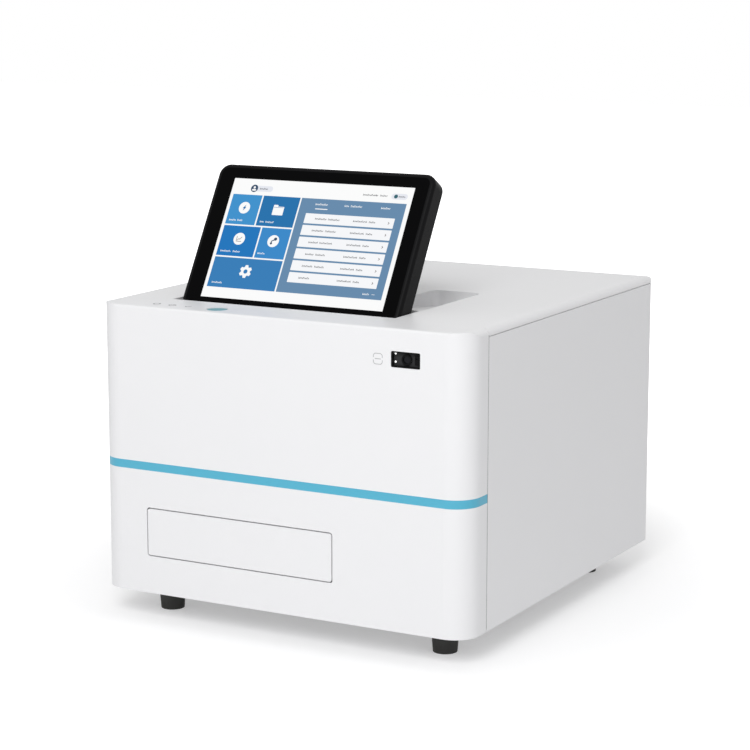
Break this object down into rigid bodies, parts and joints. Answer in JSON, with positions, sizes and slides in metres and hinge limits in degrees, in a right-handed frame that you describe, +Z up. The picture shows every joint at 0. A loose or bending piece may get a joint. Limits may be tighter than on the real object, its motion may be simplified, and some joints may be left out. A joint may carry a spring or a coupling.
{
  "type": "microplate reader",
  "caption": "Bench-top absorbance microplate reader with a motor-driven plate drawer, a moving optical head, a filter wheel and a fold-down touch screen.",
  "frame": {"origin": "on the bench, below the centre of the housing", "axes": "+X to the right seen from the front, +Y towards the rear, +Z up"},
  "size_m": [0.34, 0.362, 0.3684],
  "materials": {
    "base_plate": "satin",
    "front_panel": "fine satin moulded",
    "accent_stripe": "satin",
    "top_cover": "fine satin moulded",
    "left_side_panel": "satin",
    "right_side_panel": "satin",
    "rear_panel": "satin",
    "rubber_feet": "matte",
    "foot_screws": "bright",
    "case_screws": "bright",
    "left_frame": "satin anodised",
    "right_frame": "satin anodised",
    "drawer_rails": "bright",
    "drawer_rail_supports": "satin anodised",
    "head_rails": "bright",
    "head_rail_supports": "satin anodised",
    "drawer_motor": "satin",
    "timing_belt": "matte",
    "idler_bracket": "satin anodised",
    "head_motor": "satin",
    "detector_board": "satin",
    "main_board": "satin",
    "power_supply": "zinc plated",
    "fan_frame": "satin",
    "fan_guard": "bright",
    "power_inlet": "satin",
    "switch_body": "satin",
    "data_ports": "bright",
    "scanner_housing": "satin",
    "scanner_optics": "polished",
    "button_board": "satin",
    "hinge_brackets": "bright",
    "hinge_pins": "bright",
    "drawer_front": "fine satin moulded",
    "plate_carrier": "satin anodised",
    "bearing_blocks": "satin anodised",
    "drawer_bearings": "bright",
    "belt_clamp": "satin",
    "clip_pin": "bright",
    "plate_clip": "satin",
    "head_beam": "satin anodised",
    "head_bearings": "bright",
    "head_nut": "satin",
    "lens_row": "satin",
    "lamp_housing": "black anodised",
    "filter_motor": "bright",
    "filter_wheel": "black anodised",
    "filter_set": "polished",
    "lead_screw": "bright",
    "drive_pulley": "satin anodised",
    "idler_pulley": "satin anodised",
    "fan_rotor": "satin",
    "power_button": "satin",
    "rocker": "satin",
    "screen_back": "satin",
    "screen_bezel": "satin",
    "touch_glass": "polished",
    "display_panel": "satin",
    "screen_board": "satin",
    "hinge_leaves": "bright"
  },
  "bodies": {
    "body": {"base_plate": "base_plate", "front_panel": "front_panel", "accent_stripe": "accent_stripe", "top_cover": "top_cover", "left_side_panel": "left_side_panel", "right_side_panel": "right_side_panel", "rear_panel": "rear_panel", "rubber_feet": "rubber_feet", "foot_screws": "foot_screws", "case_screws": "case_screws", "left_frame": "left_frame", "right_frame": "right_frame", "drawer_rails": "drawer_rails", "drawer_rail_supports": "drawer_rail_supports", "head_rails": "head_rails", "head_rail_supports": "head_rail_supports", "drawer_motor": "drawer_motor", "timing_belt": "timing_belt", "idler_bracket": "idler_bracket", "head_motor": "head_motor", "detector_board": "detector_board", "main_board": "main_board", "power_supply": "power_supply", "fan_frame": "fan_frame", "fan_guard": "fan_guard", "power_inlet": "power_inlet", "switch_body": "switch_body", "data_ports": "data_ports", "scanner_housing": "scanner_housing", "scanner_optics": "scanner_optics", "button_board": "button_board", "hinge_brackets": "hinge_brackets", "hinge_pins": "hinge_pins"},
    "drawer": {"drawer_front": "drawer_front", "plate_carrier": "plate_carrier", "bearing_blocks": "bearing_blocks", "drawer_bearings": "drawer_bearings", "belt_clamp": "belt_clamp", "clip_pin": "clip_pin"},
    "clip": {"plate_clip": "plate_clip"},
    "head": {"head_beam": "head_beam", "head_bearings": "head_bearings", "head_nut": "head_nut", "lens_row": "lens_row", "lamp_housing": "lamp_housing", "filter_motor": "filter_motor"},
    "wheel": {"filter_wheel": "filter_wheel", "filter_set": "filter_set"},
    "screw": {"lead_screw": "lead_screw"},
    "drive": {"drive_pulley": "drive_pulley"},
    "idler": {"idler_pulley": "idler_pulley"},
    "fan": {"fan_rotor": "fan_rotor"},
    "button": {"power_button": "power_button"},
    "switch": {"rocker": "rocker"},
    "screen": {"screen_back": "screen_back", "screen_bezel": "screen_bezel", "touch_glass": "touch_glass", "display_panel": "display_panel", "screen_board": "screen_board", "hinge_leaves": "hinge_leaves"}
  },
  "joints": [
    {"name": "drawer_slide", "type": "slide", "parent": "body", "child": "drawer", "axis": [0, -1, 0], "range_m": [0, 0.12]},
    {"name": "clip_pivot", "type": "hinge", "parent": "drawer", "child": "clip", "pos_m": [0.03513, -0.09902, 0.0695], "axis": [0, 0, 1], "range_deg": [-14, 6], "stiffness_Nm_per_rad": 0.02},
    {"name": "head_slide", "type": "slide", "parent": "body", "child": "head", "axis": [0, -1, 0], "range_m": [0, 0.073]},
    {"name": "filter_turn", "type": "hinge", "parent": "head", "child": "wheel", "pos_m": [0.004, -0.08051, 0.154], "axis": [0, 1, 0], "continuous": true},
    {"name": "screw_turn", "type": "hinge", "parent": "body", "child": "screw", "pos_m": [0.06, 0, 0.142], "axis": [0, 1, 0], "range_deg": [0, 2630]},
    {"name": "drive_turn", "type": "hinge", "parent": "body", "child": "drive", "pos_m": [0.0605, 0.092, 0.061], "axis": [0, 0, 1], "range_deg": [0, 970.4]},
    {"name": "idler_turn", "type": "hinge", "parent": "body", "child": "idler", "pos_m": [0.0605, -0.145, 0.061], "axis": [0, 0, 1], "range_deg": [0, 970.4]},
    {"name": "fan_turn", "type": "hinge", "parent": "body", "child": "fan", "pos_m": [0.062, 0.171, 0.174], "axis": [0, 1, 0], "continuous": true},
    {"name": "power_press", "type": "slide", "parent": "body", "child": "button", "axis": [0, 0, -1], "range_m": [0, 0.0012], "stiffness_N_per_m": 800, "springref_m": -0.0006},
    {"name": "rocker_tilt", "type": "hinge", "parent": "body", "child": "switch", "pos_m": [-0.078, 0.1755, 0.064], "axis": [1, 0, 0], "range_deg": [-8, 8]},
    {"name": "screen_fold", "type": "hinge", "parent": "body", "child": "screen", "pos_m": [-0.019, -0.1066, 0.263], "axis": [-1, 0, 0], "range_deg": [0, 59]}
  ],
  "couplings": [
    {"joint": "drive_turn", "follows": "drawer_slide", "rad_per_m": 140.84},
    {"joint": "idler_turn", "follows": "drawer_slide", "rad_per_m": 140.84},
    {"joint": "screw_turn", "follows": "head_slide", "rad_per_m": 628.32}
  ]
}
